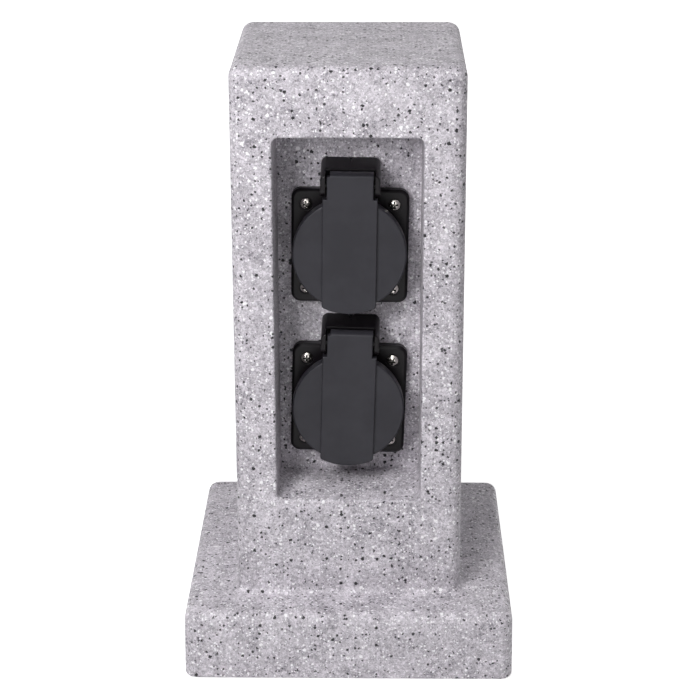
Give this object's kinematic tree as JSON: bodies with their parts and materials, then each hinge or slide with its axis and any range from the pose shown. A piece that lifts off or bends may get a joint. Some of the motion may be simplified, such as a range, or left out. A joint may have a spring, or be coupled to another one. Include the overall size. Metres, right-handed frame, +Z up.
{
  "type": "outdoor power outlet",
  "caption": "Stone-look outdoor power outlet: a square pillar on a wider square base, with flush sockets under sprung flip lids in a tall front recess.",
  "frame": {"origin": "middle of the face that the outlet stands on", "axes": "+Z up; the sockets face -Y; +X is to the right of somebody who faces them"},
  "size_m": [0.145, 0.1605, 0.2694],
  "materials": {
    "stone_look": "moulded granite look, light grey with white and dark specks, matt",
    "plate_plastic": "dark grey moulded plastic, matt",
    "frame_plastic": "black plastic, fine texture, slight sheen",
    "lid_plastic": "charcoal plastic, satin",
    "insert_plastic": "dark grey plastic, matt",
    "terminal_plastic": "off-white plastic, matt",
    "gland_plastic": "black nylon, matt",
    "rubber": "black rubber, matt",
    "chrome": "bright plated",
    "steel": "zinc plated",
    "brass": "plain brass",
    "live_insulation": "brown insulation, satin",
    "neutral_insulation": "blue insulation, satin",
    "earth_insulation": "green and yellow insulation, satin"
  },
  "bodies": {
    "pillar": {"base_plate": "plate_plastic", "base_plate_screws": "steel", "gland_body": "gland_plastic", "gland_cap_nut": "gland_plastic", "gland_lock_nut": "gland_plastic", "gland_seal": "rubber", "housing": "stone_look", "lower_centre_screw": "steel", "lower_clamp_screws": "steel", "lower_contact_insert": "insert_plastic", "lower_earth_bracket": "steel", "lower_earth_wire": "earth_insulation", "lower_flange_gasket": "rubber", "lower_flange_screws": "chrome", "lower_hinge_pin": "frame_plastic", "lower_lid_spring": "steel", "lower_live_contact": "brass", "lower_live_wire": "live_insulation", "lower_neutral_contact": "brass", "lower_neutral_wire": "neutral_insulation", "lower_rear_cover": "frame_plastic", "lower_socket_frame": "frame_plastic", "terminal_bar_screws": "steel", "terminal_bars": "brass", "terminal_block": "terminal_plastic", "terminal_block_screws": "steel", "upper_centre_screw": "steel", "upper_clamp_screws": "steel", "upper_contact_insert": "insert_plastic", "upper_earth_bracket": "steel", "upper_earth_wire": "earth_insulation", "upper_flange_gasket": "rubber", "upper_flange_screws": "chrome", "upper_hinge_pin": "frame_plastic", "upper_lid_spring": "steel", "upper_live_contact": "brass", "upper_live_wire": "live_insulation", "upper_neutral_contact": "brass", "upper_neutral_wire": "neutral_insulation", "upper_rear_cover": "frame_plastic", "upper_socket_frame": "frame_plastic"},
    "upper_lid_body": {"upper_lid": "lid_plastic", "upper_lid_seal": "rubber"},
    "lower_lid_body": {"lower_lid": "lid_plastic", "lower_lid_seal": "rubber"}
  },
  "joints": [
    {"name": "upper_lid_hinge", "type": "hinge", "parent": "pillar", "child": "upper_lid_body", "pos_m": [0.00072, -0.0319, 0.215], "axis": [-0.9999, 0, 0.014], "range_deg": [0, 95], "stiffness_Nm_per_rad": 0.012, "springref_deg": -68.75},
    {"name": "lower_lid_hinge", "type": "hinge", "parent": "pillar", "child": "lower_lid_body", "pos_m": [0.0005, -0.0319, 0.14369], "axis": [-0.9996, 0, 0.0297], "range_deg": [0, 95], "stiffness_Nm_per_rad": 0.012, "springref_deg": -68.75}
  ]
}
